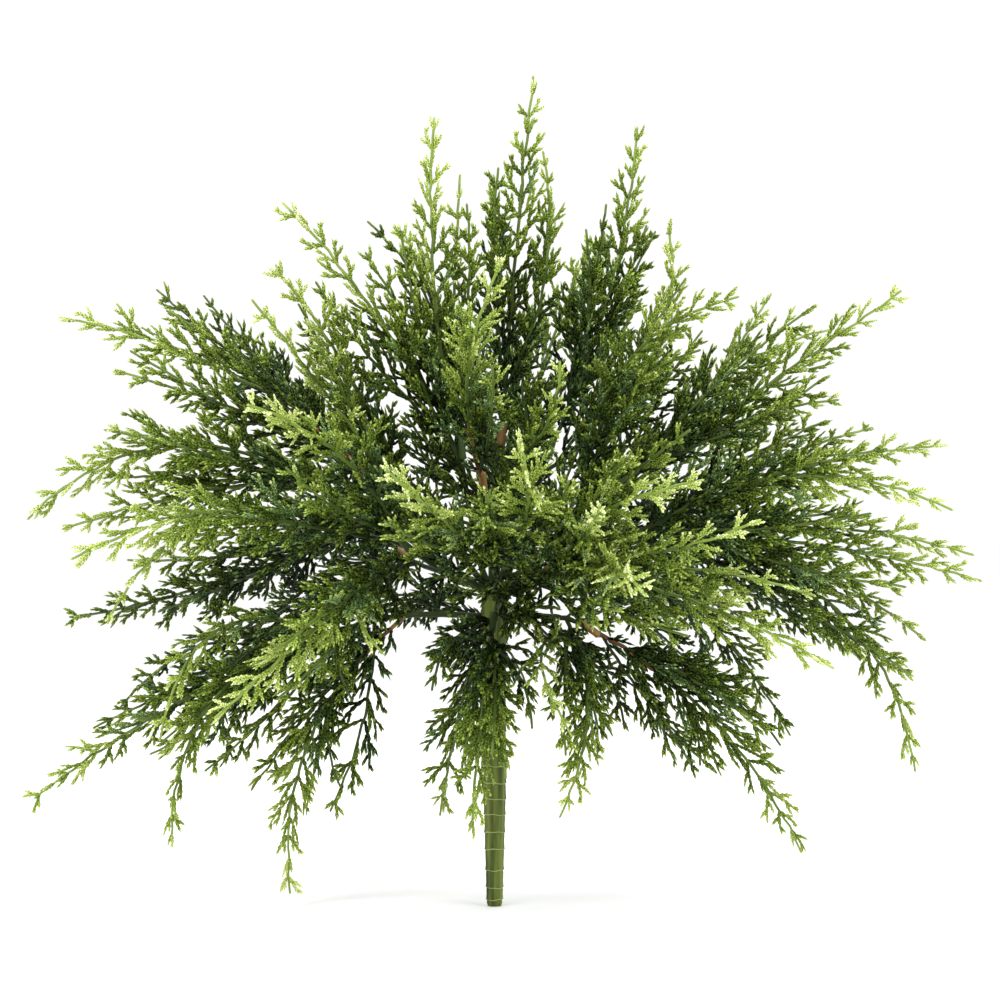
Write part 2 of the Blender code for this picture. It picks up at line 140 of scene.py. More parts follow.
# more sprays of each mass: place half way, tip, tone, half width
MORE = {
    "foliage_top": [((550, 225, -40), (543, 152, -60), MIDDLE, 26), ((497, 245, 30), (489, 184, 40), MIDDLE, 24)],
    "foliage_top_left": [((456, 250, -60), (460, 175, -70), LIGHT, 24), ((405, 262, -60), (368, 222, -60), DARK, 26)],
    "foliage_upper_left": [((375, 330, -90), (327, 313, -120), DARK, 24)],
    "foliage_top_right": [((640, 262, 60), (655, 232, 60), DARK, 26), ((600, 250, 30), (606, 205, 20), DARK, 26),
                          ((590, 275, -10), (586, 230, -20), DARK, 24)],
    "foliage_front_high": [((545, 430, -260), (560, 362, -320), MIDDLE, 30)],
    "foliage_left_high": [((180, 390, 0), (115, 370, 0), MIDDLE, 28)],
    "foliage_left_high_back": [((250, 350, 120), (204, 296, 160), DARK, 26)],
    "foliage_left_high_front": [((300, 360, -150), (252, 300, -200), LIGHT, 26)],
    "foliage_left": [((150, 503, -10), (63, 529, -10), LIGHT, 34), ((170, 440, 20), (105, 430, 30), MIDDLE, 28)],
    "foliage_left_back": [((185, 560, 110), (128, 560, 150), COOL, 30)],
    "foliage_left_low": [((205, 700, 40), (138, 680, 60), DARK, 30), ((190, 650, 60), (120, 708, 90), DARK, 28)],
    "foliage_left_low_front": [((225, 680, -60), (232, 757, -60), DARK, 26), ((205, 640, -120), (160, 740, -140), LIGHT, 28)],
    "foliage_left_droop": [((328, 720, -20), (340, 786, -20), DARK, 24), ((335, 640, -60), (352, 700, -60), DARK, 24)],
    "foliage_front_left": [((150, 560, -200), (108, 622, -215), LIGHT, 24)],
    "foliage_front_left_low": [((355, 600, -200), (383, 654, -240), LIGHT, 22)],
    "foliage_front_right": [((590, 530, -330), (600, 505, -430), LIGHT, 28)],
    "foliage_front_right_high": [((690, 545, -280), (760, 520, -320), LIGHT, 32), ((650, 460, -260), (690, 430, -320), COOL, 30)],
    "foliage_front_right_low": [((735, 575, -210), (815, 596, -250), LIGHT, 28)],
    "foliage_right_high": [((760, 415, 20), (838, 400, 20), MIDDLE, 30), ((770, 350, 60), (830, 330, 70), LIGHT, 26)],
    "foliage_right_high_front": [((640, 380, -130), (700, 350, -190), COOL, 30)],
    "foliage_right": [((850, 530, 10), (973, 555, 10), LIGHT, 34)],
    "foliage_right_back": [((830, 440, 60), (872, 428, 80), MIDDLE, 28)],
    "foliage_right_low": [((870, 600, 60), (925, 640, 60), MIDDLE, 28), ((830, 620, 40), (860, 660, 40), DARK, 28)],
    "foliage_right_droop": [((705, 675, 0), (768, 678, 10), DARK, 28), ((680, 690, -30), (700, 765, -30), DARK, 28),
                            ((740, 700, -20), (780, 745, -20), DARK, 26), ((650, 690, -20), (668, 750, -20), DARK, 26)],
    "foliage_front_droop_right": [((610, 680, 10), (625, 728, 10), DARK, 24), ((545, 680, -160), (572, 736, -170), LIGHT, 26)],
    "foliage_front_droop": [((455, 640, -120), (432, 690, -130), DARK, 24), ((515, 670, -110), (532, 728, -110), DARK, 24),
                            ((500, 705, -120), (506, 778, -125), MIDDLE, 24), ((476, 700, -125), (462, 768, -130), COOL, 24)],
}


def at(col, row, depth):
    eye = Vector(((EYE_COL - FOOT_COL) * GRID, -EYE_DISTANCE, (FOOT_ROW - EYE_ROW) * GRID))
    flat = Vector(((col - FOOT_COL) * GRID, 0.0, (FOOT_ROW - row) * GRID))
    return eye + (flat - eye) * ((EYE_DISTANCE + depth * GRID) / EYE_DISTANCE)


def through(a, mid, b, n):
    m = (mid - a).length / ((mid - a).length + (b - mid).length)
    pull = (mid - a * (1 - m) ** 2 - b * m * m) / (2 * m * (1 - m))
    return [a * (1 - t) ** 2 + pull * 2 * t * (1 - t) + b * t * t
            for t in (i / (n - 1) for i in range(n))]


def bent(a, da, b, db, n):
    reach = (b - a).length
    c1, c2 = a + da * reach * 0.36, b - db * reach * 0.32
    out = []
    for i in range(n):
        t = i / (n - 1)
        s = 1 - t
        out.append(a * s ** 3 + c1 * 3 * s * s * t + c2 * 3 * s * t * t + b * t ** 3)
    return out


def along(points, s):
    f = min(max(s, 0.0), 1.0) * (len(points) - 1)
    i = min(int(f), len(points) - 2)
    d = (points[i + 1] - points[i]).normalized()
    return points[i].lerp(points[i + 1], f - i), d


def head_point(p):
    x0 = (HEAD_COL - FOOT_COL) * GRID
    core = Vector((x0, 0.0, min(max(p.z, HEAD_LOW_Z), HEAD_HIGH_Z)))
    n = (p - core).normalized()
    return core + n * HEAD_R, n


def bough_roots(ends):
    names = list(ends)
    centre = Vector(((HEAD_COL - FOOT_COL) * GRID, 0.0, (HEAD_LOW_Z + HEAD_HIGH_Z) / 2))
    spots = []
    for name in names:
        d = (ends[name] - centre).normalized()
        lift = 0.25 if d.z > -0.1 else 0.0
        spots.append(head_point(centre + (d + Vector((0, 0, lift))).normalized() * 0.02)[0])
    apart = 2 * BOUGH_ROOT_R + 4 * GAP
    for _ in range(200):
        for i in range(len(spots)):
            for j in range(i):
                gap = spots[i] - spots[j]
                if gap.length < apart:
                    push = gap.normalized() * (apart - gap.length) * 0.5
                    spots[i] = spots[i] + push
                    spots[j] = spots[j] - push
        spots = [head_point(p)[0] for p in spots]
    return dict(zip(names, spots))


fork = Vector(((HEAD_COL - FOOT_COL) * GRID, 0.0, HEAD_HIGH_Z))
ends = {name: fork.lerp(at(*place), BOUGH_SHARE) for name, place in BOUGHS.items()}
roots = bough_roots(ends)
bough_paths = {}
for name, end in ends.items():
    root, normal = roots[name], head_point(roots[name])[1]
    lead = [m for m in MASSES.values() if m[0] == name and m[1] == 1.0]
    arrive = (at(*lead[0][2]) - end).normalized()
    start = (normal + (end - root).normalized() * 0.35 + Vector((0, 0, 0.15))).normalized()
    bough_paths[name] = bent(root + normal * GAP, start, end, arrive, 24)

# ---------------------------------------------------------------- materials
# the greens from the dark inside of the crown to its pale ends
WARM = [
    (0.002, 0.004, 0.001), (0.006, 0.012, 0.002), (0.015, 0.028, 0.004),
    (0.034, 0.058, 0.007), (0.064, 0.102, 0.011), (0.108, 0.162, 0.018),
    (0.170, 0.240, 0.030), (0.255, 0.335, 0.055), (0.365, 0.450, 0.105),
    (0.510, 0.580, 0.210), (0.680, 0.720, 0.370),
]
# and the bluer greens of the older, inner leaves
COLD = [
    (0.002, 0.005, 0.001), (0.007, 0.014, 0.004), (0.016, 0.033, 0.009),
    (0.034, 0.065, 0.017), (0.062, 0.110, 0.027), (0.104, 0.172, 0.045),
    (0.170, 0.255, 0.078), (0.260, 0.360, 0.135),
]


def noisy(name, colour, rough, spec=0.4, sheen=0.0, bump=0.25, scale=900.0, vary=0.10):
    """A moulded plastic: plain colour, uneven gloss and a fine grain."""
    mat = bpy.data.materials.new(name)
    mat.use_nodes = True
    nt = mat.node_tree
    shader = nt.nodes["Principled BSDF"]
    shader.inputs["Base Color"].default_value = (*colour, 1.0)
    shader.inputs["Specular IOR Level"].default_value = spec
    shader.inputs["Sheen Weight"].default_value = sheen
    where = nt.nodes.new("ShaderNodeTexCoord")
    grain = nt.nodes.new("ShaderNodeTexNoise")
    grain.inputs["Scale"].default_value = scale
    grain.inputs["Detail"].default_value = 2.0
    nt.links.new(where.outputs["Object"], grain.inputs["Vector"])
    ramp = nt.nodes.new("ShaderNodeMapRange")
    ramp.inputs["To Min"].default_value = rough - vary
    ramp.inputs["To Max"].default_value = rough + vary
    nt.links.new(grain.outputs["Fac"], ramp.inputs["Value"])
    nt.links.new(ramp.outputs["Result"], shader.inputs["Roughness"])
    lift = nt.nodes.new("ShaderNodeBump")
    lift.inputs["Strength"].default_value = bump
    lift.inputs["Distance"].default_value = 0.0003
    nt.links.new(grain.outputs["Fac"], lift.inputs["Height"])
    nt.links.new(lift.outputs["Normal"], shader.inputs["Normal"])
    return mat


leaf_mats = [noisy(f"leaf_{i:02d}", c, 0.52, spec=0.07, bump=0.2) for i, c in enumerate(WARM + COLD)]
stalk_colours = [(0.020, 0.034, 0.005), (0.046, 0.074, 0.010), (0.096, 0.146, 0.022),
                 (0.185, 0.262, 0.044), (0.320, 0.415, 0.100), (0.110, 0.055, 0.020),
                 (0.240, 0.110, 0.040)]
stalk_mats = [noisy(f"stalk_{i}", c, 0.42, spec=0.2, bump=0.15) for i, c in enumerate(stalk_colours)]
wire_mats = [noisy("wire_green", (0.019, 0.031, 0.006), 0.5, spec=0.14, bump=0.2),
             noisy("collar_tan", (0.230, 0.125, 0.042), 0.5, spec=0.2, bump=0.2),
             noisy("collar_green", (0.045, 0.080, 0.022), 0.5, spec=0.2, bump=0.2)]


# ------------------------------------------------------------------- meshes
def mesh_object(name, verts, tris, mats, index, smooth):
    me = bpy.data.meshes.new(name)
    verts = np.asarray(verts, np.float32)
    tris = np.asarray(tris, np.int32)
    me.vertices.add(len(verts))
    me.vertices.foreach_set("co", verts.ravel())
    me.loops.add(len(tris) * 3)
    me.loops.foreach_set("vertex_index", tris.ravel())
    me.polygons.add(len(tris))
    me.polygons.foreach_set("loop_start", np.arange(0, len(tris) * 3, 3, dtype=np.int32))
    for m in mats:
        me.materials.append(m)
    me.update(calc_edges=True)
    me.polygons.foreach_set("material_index", np.asarray(index, np.int32))
    me.polygons.foreach_set("use_smooth", np.full(len(tris), smooth))
    me.update()
    ob = bpy.data.objects.new(name, me)
    bpy.context.scene.collection.objects.link(ob)
    return ob


def tube(points, radii, sides, roll=0.0, ridge=0.0):
    """Vertices and triangles of a closed tube along points."""
    n = len(points)
    P = np.array([tuple(p) for p in points])
    T = np.gradient(P, axis=0)
    T /= np.linalg.norm(T, axis=1, keepdims=True)
    x = np.array(Vector(T[0]).orthogonal().normalized())
    verts, tris = [], []
    for i in range(n):
        x = x - T[i] * x.dot(T[i])
        x /= np.linalg.norm(x)
        y = np.cross(T[i], x)
        for j in range(sides):
            a = math.tau * j / sides + roll
            r = radii[i] * (1.0 + (ridge if j % 2 else -ridge))
            verts.append(P[i] + (x * math.cos(a) + y * math.sin(a)) * r)
    for i in range(n - 1):
        for j in range(sides):
            a, b = i * sides + j, i * sides + (j + 1) % sides
            c, d = a + sides, b + sides
            tris += [(a, b, d), (a, d, c)]
    verts += [P[0] - T[0] * radii[0] * 0.4, P[-1] + T[-1] * radii[-1] * 1.5]
    base, top = n * sides, n * sides + 1
    for j in range(sides):
        tris.append((base, (j + 1) % sides, j))
        tris.append((top, (n - 1) * sides + j, (n - 1) * sides + (j + 1) % sides))
    return verts, tris


class Heap:
    """Tubes gathered into one mesh."""

    def __init__(self):
        self.v, self.t, self.m = [], [], []

    def add(self, verts, tris, mat):
        base = len(self.v)
        self.v.extend(verts)
        self.t.extend((a + base, b + base, c + base) for a, b, c in tris)
        self.m.extend(mat if isinstance(mat, list) else [mat] * len(tris))


# ---------------------------------------------------------------- sprigs
# a sprig is one scale-leaved twiglet: start, two directions, normal, length,
# half width, tone at its foot and tip
groups = ("top", "left", "left_low", "front_left", "front_right", "right", "right_low", "back")


def group_of(name):
    if "back" in name and "_high_back" not in name and name not in ("foliage_left_back", "foliage_right_back"):
        return "back"
    if name.startswith("foliage_front"):
        return "front_right" if "right" in name or name == "foliage_front_droop" else "front_left"
    if "top" in name or "upper" in name:
        return "top"
    side = "left" if "left" in name else "right"
    return side + "_low" if ("low" in name or "droop" in name) else side


sprigs = {g: [] for g in groups}
stalks = {g: Heap() for g in groups}


def unit(v):
    return v / max(np.linalg.norm(v), 1e-9)


COLDNESS = [False]


def sprig(g, p, d0, d1, n, length, w, t0, t1, fine):
    sprigs[g].append((p, d0, d1, n, length, w, t0, t1, fine, COLDNESS[0]))


def bezier(p, d0, d1, length, t):
    """A point on a sprig and its direction there."""
    q1 = p + d0 * length * 0.5
    q2 = q1 + d1 * length * 0.5
    return (p * (1 - t) ** 2 + q1 * 2 * t * (1 - t) + q2 * t * t,
            unit((q1 - p) * (1 - t) + (q2 - q1) * t))


def side_branch(g, rng, p, d0, d1, normal, length, tone, fine, big):
    """A scaly branch with alternate shorter ones in its plane."""
    w = 0.00118 if big else 0.00114
    t0, t1 = tone, min(tone + 0.16, 1.0)
    sprig(g, p, d0, d1, normal, length, w * rng.uniform(0.92, 1.1), t0, t1, fine)
    if length < 0.0075:
        return
    gap = rng.uniform(0.0039, 0.0051)
    s = length * 0.24 + rng.uniform(0, 0.001)
    hand = rng.choice((-1, 1))
    while s < length - 0.0026:
        q, d = bezier(p, d0, d1, length, s / length)
        across = unit(np.cross(normal, d)) * hand
        a = math.radians(rng.uniform(34, 48))
        tilt = normal * rng.uniform(-0.22, 0.22)
        e0 = unit(d * math.cos(a) + across * math.sin(a) + tilt)
        e1 = unit(d * math.cos(a * 0.45) + across * math.sin(a * 0.45) + tilt)
        left = length - s
        span = min(max(left * rng.uniform(0.48, 0.72) + 0.0015, 0.0036), 0.0112)
        sprig(g, q, e0, e1, normal, span, w * 0.92, min(tone + 0.05, 1.0), min(tone + 0.24, 1.0), fine)
        if span > 0.0084:
            q2, d2 = bezier(q, e0, e1, span, rng.uniform(0.35, 0.5))
            ac = unit(np.cross(normal, d2)) * -hand
            f0 = unit(d2 * 0.8 + ac * 0.6)
            sprig(g, q2, f0, unit(f0 + d2), normal, span * rng.uniform(0.38, 0.52), w * 0.85,
                  min(tone + 0.1, 1.0), min(tone + 0.26, 1.0), fine)
        if rng.random() < 0.28:
            hand = hand
        else:
            hand = -hand
        s += gap * rng.uniform(0.85, 1.25)


def spray(g, seed, path, half, tone, fine=1.0, start=0.05, r0=0.00105, brown=0.0, fill=1.0):
    """A moulded spray along an axis: a smooth stalk with whorls of branches."""
    rng = random.Random(seed)
    P = np.array([tuple(p) for p in path])
    seg = np.linalg.norm(np.diff(P, axis=0), axis=1)
    arc = np.concatenate([[0], np.cumsum(seg)])
    total = arc[-1]

    def place(s):
        return np.array([np.interp(s, arc, P[:, i]) for i in range(3)])

    n = max(int(total / 0.004), 6)
    line = [place(total * i / n) for i in range(n + 1)]
    wob = rng.uniform(0, 50)
    for i in range(1, n):
        off = noise.noise_vector(Vector((i * 0.55 + wob, seed * 0.37, 0)))
        line[i] = line[i] + np.array(off) * 0.0011 * min(i / 3, 1) * min((n - i) / 3, 1)
    radii = [r0 + (0.00055 - r0) * (i / n) ** 0.85 for i in range(n + 1)]
    v, t = tube(line, radii, 6, ridge=0.08)
    inner, outer = tone
    mats = []
    for k in range(len(t)):
        # the stalk darkens towards the inside of the crown: partly darker paint, partly painted shade
        f = min(k / (12 * n), 1.0)
        level = inner + (outer - inner) * f
        if f < brown:
            mats.append(5 if (k // 12 + seed) % 5 else 6)
        else:
            mats.append(int(min(max(level * 5.4, 0), 4)))
    stalks[g].add(v, t, mats)

    line = np.array(line)
    s = total * start + 0.001
    phase = rng.uniform(0, math.tau)
    ref = None
    while s < total - 0.003:
        f = s / total
        i = min(int(f * n), n - 1)
        d = unit(line[i + 1] - line[i])
        p = line[i] + (line[i + 1] - line[i]) * (f * n - i)
        if ref is None:
            ref = unit(np.cross(d, [0.31, 0.52, 0.79]))
        ref = unit(ref - d * ref.dot(d))
        other = np.cross(d, ref)
        shape = (0.55 + 0.45 * min(f / 0.28, 1.0)) * min(1.0, 0.32 + (1 - f) * 1.30)
        count = 3 if (f < 0.72 and rng.random() < 0.75 * fill) else 2
        for b in range(count):
            az = phase + math.tau * b / count + rng.uniform(-0.3, 0.3)
            rad = unit(ref * math.cos(az) + other * math.sin(az) * 0.82)
            a = math.radians(rng.uniform(38, 53) - 6 * f)
            d0 = unit(d * math.cos(a) + rad * math.sin(a))
            a1 = a * rng.uniform(0.34, 0.62)
            d1 = unit(d * math.cos(a1) + rad * math.sin(a1))
            length = half * 1.33 * shape * rng.uniform(0.72, 1.18)
            length = min(max(length, 0.0035), (total - s) * 1.05 + 0.0065)
            nrm = unit(np.cross(d, rad))
            nrm = unit(nrm + rad * rng.uniform(-0.5, 0.5))
            nrm = unit(nrm - d0 * nrm.dot(d0))
            # darker towards the inside of the crown: partly darker paint, partly painted shade
            level = inner + (outer - inner) * f ** 1.1 + rng.uniform(-0.10, 0.10)
            COLDNESS[0] = rng.random() < 0.66 - 0.9 * f - 0.25 * (outer - 0.5)
            side_branch(g, rng, p, d0, d1, nrm, length, min(max(level, 0.0), 1.0),
                        fine * (0.60 if f < 0.30 else 0.78 if f < 0.5 else 1.0), f < 0.5)
        phase += math.pi * 0.5 + rng.uniform(-0.35, 0.35)
        s += (0.0100 - 0.0014 * f) * rng.uniform(0.85, 1.15)
    COLDNESS[0] = False
    d = unit(line[-1] - line[-2])
    nrm = unit(np.cross(d, [0.2, 0.9, 0.4]))
    sprig(g, line[-1] - d * 0.004, d, d, nrm, 0.0042, 0.0006, min(outer, 1), 1.0, fine)


# -------------------------------------------------------------------- growth
seed = 11
for k, (name, (bough, s, mid, tip, half)) in enumerate(MASSES.items()):
    g = group_of(name)
    tone = TONES.get(name, LIGHT)
    place, direction = along(bough_paths[bough], s)
    mid_p, tip_p = at(*mid), at(*tip)
    if s == 1.0:
        root = bough_paths[bough][-1]
    else:
        aside = mid_p - place
        aside = (aside - direction * aside.dot(direction)).normalized()
        root = place + aside * (BOUGH_ROOT_R * 0.4)
    axis = through(root, mid_p, tip_p, 30)
    brown = 0.30 if name in ("foliage_right_droop", "foliage_front_high", "foliage_left_high",
                             "foliage_front_right_low", "foliage_left_droop") else 0.0
    seed += 7
    spray(g, seed, axis, half * GRID, tone, brown=brown, fine=0.85 if g == "back" else 1.0)
    for (m2, t2, tone2, half2) in MORE.get(name, []):
        seed += 7
        base = along(axis, 0.12)[0]
        if (at(*t2) - base).length > (tip_p - base).length * 0.98:
            base = along(axis, 0.02)[0]
        spray(g, seed, through(base, at(*m2), at(*t2), 24), half2 * GRID, tone2, r0=0.0008)
    # companions that fill the mass round its main spray, in a darker tone that is partly darker paint and partly
    # painted shade
    rng = random.Random(900 + k)
    turn = rng.uniform(0, math.tau)
    for c in range(2):
        seed += 7
        u, d = along(axis, 0.04 + 0.08 * c)
        v, d2 = along(axis, rng.uniform(0.62, 0.78))
        x = d2.orthogonal().normalized()
        y = d2.cross(x)
        az = turn + math.pi * c + rng.uniform(-0.5, 0.5)
        out = x * math.cos(az) + y * math.sin(az)
        end = v + out * half * GRID * rng.uniform(0.75, 1.0)
        if end.z < 0.012:
            end.z = 0.012
        m = u.lerp(end, 0.5) + out * half * GRID * 0.22
        darker_paint_and_shade = (tone[0] * 0.6, tone[1] * 0.72)
        spray(g, seed, through(u, m, end, 20), half * GRID * 0.86, darker_paint_and_shade, fine=0.75, r0=0.0008)

# short dark sprays along the boughs fill the inside of the crown; their dark tone is partly darker paint and partly
# painted shade
for k, (name, path) in enumerate(bough_paths.items()):
    mass = next(n for n, m in MASSES.items() if m[0] == name)
    g = group_of(mass)
    rng = random.Random(300 + k)
    for c in range(4):
        seed += 7
        u, d = along(path, 0.26 + 0.19 * c)
        x = d.orthogonal().normalized()
        y = d.cross(x)
        az = rng.uniform(0, math.tau)
        out = x * math.cos(az) + y * math.sin(az)
        end = u + d * 0.030 + out * 0.026
        if end.z < 0.02:
            continue
        spray(g, seed, through(u, u + d * 0.014 + out * 0.016, end, 12), 0.0150, (0.0, 0.34), fine=0.5, r0=0.0007)

# -------------------------------------------------------- sprigs into meshes
PITCH = 0.00118


def build_sprigs(g):
    rows = sprigs[g]
    byk = {}
    for r in rows:
        k = max(3, int(round(r[4] * r[8] / PITCH)))
        byk.setdefault(k, []).append(r)
    V, T, M = [], [], []
    base = 0
    rng = np.random.default_rng(hash_of(g))
    for K, rs in sorted(byk.items()):
        p = np.array([r[0] for r in rs])
        d0 = np.array([r[1] for r in rs])
        d1 = np.array([r[2] for r in rs])
        n = np.array([r[3] for r in rs])
        L = np.array([r[4] for r in rs])[:, None]
        w = np.array([r[5] for r in rs])
        t0 = np.array([r[6] for r in rs])
        t1 = np.array([r[7] for r in rs])
        q1 = p + d0 * L * 0.5
        q2 = q1 + d1 * L * 0.5
        N = len(rs)
        verts = np.zeros((N, K * 4 + 2, 3))
        for k in range(K):
            for c in range(4):
                wide = (c % 2) == (k % 2)
                t = (k + (0.72 if wide else 0.22)) / (K + 0.4)
                centre = p * (1 - t) ** 2 + q1 * 2 * t * (1 - t) + q2 * t * t
                d = (q1 - p) * (1 - t) + (q2 - q1) * t
                d /= np.linalg.norm(d, axis=1, keepdims=True)
                nn = n - d * np.sum(n * d, axis=1, keepdims=True)
                nn /= np.linalg.norm(nn, axis=1, keepdims=True)
                u = np.cross(nn, d)
                side = (u, nn, -u, -nn)[c]
                env = 0.80 + 0.20 * math.sin(math.pi * min(t * 1.4, 1.0))
                env *= min(1.0, (1.05 - t) / 0.32) ** 0.55
                r = w * env * (1.0 if wide else 0.60) * (1.0 if c % 2 == 0 else 0.82)
                r = r * rng.uniform(0.88, 1.12, N)
                verts[:, k * 4 + c] = centre + side * r[:, None]
        verts[:, K * 4] = p - d0 * 0.0002
        verts[:, K * 4 + 1] = q2 + d1 * 0.0002 - (q2 - (p * 0 + q1 * 0 + q2))
        # part holds each triangle's ring and a flag: flagged facets and the tip cap get a painted highlight
        tris, part = [], []
        for k in range(K - 1):
            for c in range(4):
                a, b = k * 4 + c, k * 4 + (c + 1) % 4
                e, f = a + 4, b + 4
                if (c % 2) == (k % 2):       # a and f are the wide corners
                    tris += [(a, b, e), (b, f, e)]
                    part += [(k, 1), (k, 0)]
                else:                        # b and e are the wide corners
                    tris += [(a, b, f), (a, f, e)]
                    part += [(k, 1), (k, 0)]
        for c in range(4):
            b = (c + 1) % 4
            tris.append((K * 4 + 1, (K - 1) * 4 + c, (K - 1) * 4 + b))
            part.append((K - 1, 1))
            tris.append((K * 4, b, c))
            part.append((0, 0))
        tris = np.array(tris)
        frac = np.array([q[0] / max(K - 1, 1) for q in part])
        facet_highlight = np.array([q[1] for q in part])
        level = t0[:, None] + (t1 - t0)[:, None] * frac[None] ** 1.3
        # every facet is painted 0.09 darker and the flagged ones 0.24 lighter: painted shade and painted highlights on
        # alternate scale facets
        level = level - 0.09 + facet_highlight[None] * 0.24 + rng.uniform(-0.05, 0.05, (N, len(part)))
        index = np.clip((level * (len(WARM) - 1) + 0.5).astype(int), 0, len(WARM) - 1)
        cold = np.array([r[9] for r in rs])[:, None] & (index < len(COLD))
        index = index + cold * len(WARM)
        V.append(verts.reshape(-1, 3))
        T.append((tris[None] + (base + np.arange(N) * (K * 4 + 2))[:, None, None]).reshape(-1, 3))
        M.append(index.ravel())
        base += N * (K * 4 + 2)
    return np.concatenate(V), np.concatenate(T), np.concatenate(M)


def hash_of(text):
    return sum(ord(c) * (i + 3) for i, c in enumerate(text))


total = 0
for g in groups:
    nodes = [n for n in MASSES if group_of(n) == g]
    v, t, m = build_sprigs(g)
    v[:, 2] = np.maximum(v[:, 2], 0.0015)
    total += len(t)
    parts_n = max(1, math.ceil(len(t) / 190000))
    cut = np.linspace(0, len(t), parts_n + 1).astype(int)
    for i in range(parts_n):
        tt, mm = t[cut[i]:cut[i + 1]], m[cut[i]:cut[i + 1]]
        used = np.unique(tt)
        renum = np.zeros(len(v), np.int32)
        renum[used] = np.arange(len(used))
        ob = mesh_object(f"scales_{g}_{i}", v[used], renum[tt], leaf_mats, mm, False)
        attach(ob, "root")
        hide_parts(*nodes)
    h = stalks[g]
    ob = mesh_object(f"stalks_{g}", h.v, h.t, stalk_mats, h.m, True)
    total += len(h.t)
    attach(ob, "root")
    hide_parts(*nodes)

# --------------------------------------------------------------- wires, stem
wires = Heap()
for k, (name, path) in enumerate(bough_paths.items()):
    n = 60
    fine_path, radii = [], []
    for i in range(n + 1):
        p, d = along(path, i / n)
        off = noise.noise_vector(Vector((i * 0.16, k * 3.7, 1.0))) * 0.0007 * min(i / 8, 1)
        fine_path.append(p + off)
        swell = 1.0 + 0.05 * noise.noise(Vector((i * 0.9, k * 5.1, 0)))
        radii.append((BOUGH_ROOT_R + (BOUGH_TIP_R - BOUGH_ROOT_R) * i / n) * swell)
    fine_path[0] = fine_path[0] - (fine_path[1] - fine_path[0]).normalized() * 0.003
    v, t = tube(fine_path, radii, 10, ridge=0.035)
    wires.add(v, t, 0)
    # the collar where the last spray is pushed on
    p, d = along(path, 0.985)
    col = [p + d * (x - 0.006) for x in (0.0, 0.0004, 0.002, 0.005, 0.0085, 0.0105, 0.011)]
    rr = [0.0013, 0.0021, 0.0020, 0.00175, 0.0016, 0.0017, 0.0011]
    v, t = tube(col, rr, 12, ridge=0.03)
    wires.add(v, t, 1 if k % 3 == 0 else 2)
ob = mesh_object("coated_wires", wires.v, wires.t, wire_mats, wires.m, True)
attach(ob, "root")
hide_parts(*bough_paths)
total += len(wires.t)

stem_mat = bpy.data.materials.new("stem_plastic")
stem_mat.use_nodes = True
nt = stem_mat.node_tree
shader = nt.nodes["Principled BSDF"]
shader.inputs["Roughness"].default_value = 0.48
shader.inputs["Specular IOR Level"].default_value = 0.22
where = nt.nodes.new("ShaderNodeTexCoord")
stretch = nt.nodes.new("ShaderNodeMapping")
stretch.inputs["Scale"].default_value = (420.0, 420.0, 28.0)
nt.links.new(where.outputs["Object"], stretch.inputs["Vector"])
streak = nt.nodes.new("ShaderNodeTexNoise")
streak.inputs["Scale"].default_value = 1.0
streak.inputs["Detail"].default_value = 3.0
nt.links.new(stretch.outputs["Vector"], streak.inputs["Vector"])
ramp = nt.nodes.new("ShaderNodeValToRGB")
ramp.color_ramp.elements[0].position = 0.34
ramp.color_ramp.elements[0].color = (0.030, 0.045, 0.004, 1)
ramp.color_ramp.elements[1].position = 0.66
ramp.color_ramp.elements[1].color = (0.120, 0.160, 0.024, 1)
nt.links.new(streak.outputs["Fac"], ramp.inputs["Fac"])
nt.links.new(ramp.outputs["Color"], shader.inputs["Base Color"])
lift = nt.nodes.new("ShaderNodeBump")
lift.inputs["Strength"].default_value = 0.25
lift.inputs["Distance"].default_value = 0.0003
nt.links.new(streak.outputs["Fac"], lift.inputs["Height"])
nt.links.new(lift.outputs["Normal"], shader.inputs["Normal"])


def stem_radius(z):
    return STEM_LOW_R + (STEM_TOP_R - STEM_LOW_R) * min(z / STEM_WIDE_Z, 1.0)


SIDES = 72
rings_z = sorted((FOOT_ROW - row) * GRID for row in RING_ROWS)
levels = [(0.0, STEM_FOOT_R, 0), (0.0004, STEM_FOOT_R + 0.0001, 0), (0.0022, STEM_LOW_R, 0)]
for z in rings_z:
    r = stem_radius(z)
    levels += [(z - 0.0012, r - 0.00006, 1), (z - 0.0003, r - 0.00016, 1), (z - 0.0001, r - 0.00018, 1),
               (z, r + 0.00020, 1), (z + 0.0003, r + 0.00030, 1), (z + 0.0010, r + 0.00016, 1),
               (z + 0.0030, r + 0.00004, 1)]
levels += [(STEM_TOP_Z, STEM_TOP_R, 1), (STEM_TOP_Z + 0.004, STEM_TOP_R + 0.0006, 1),
           (HEAD_LOW_Z + 0.004, HEAD_R - 0.0010, 1), (HEAD_HIGH_Z - 0.002, HEAD_R - 0.0009, 1),
           (HEAD_HIGH_Z + 0.002, HEAD_R - 0.0020, 0), (HEAD_HIGH_Z + 0.0045, 0.0022, 0)]
levels.sort(key=lambda q: q[0])
verts, tris, stem_index = [], [], []
for i, (z, r, fluted) in enumerate(levels):
    for j in range(SIDES):
        a = math.tau * j / SIDES
        flute = 0.00016 * math.cos(a * 9 + 0.6) * fluted + 0.00007 * math.cos(a * 23) * fluted
        wave = 0.00022 * math.sin(a * 2 + z * 900) + 0.00012 * math.sin(a * 5 + z * 400) if fluted else 0.0
        verts.append((math.cos(a) * (r + flute), math.sin(a) * (r + flute), z + wave))
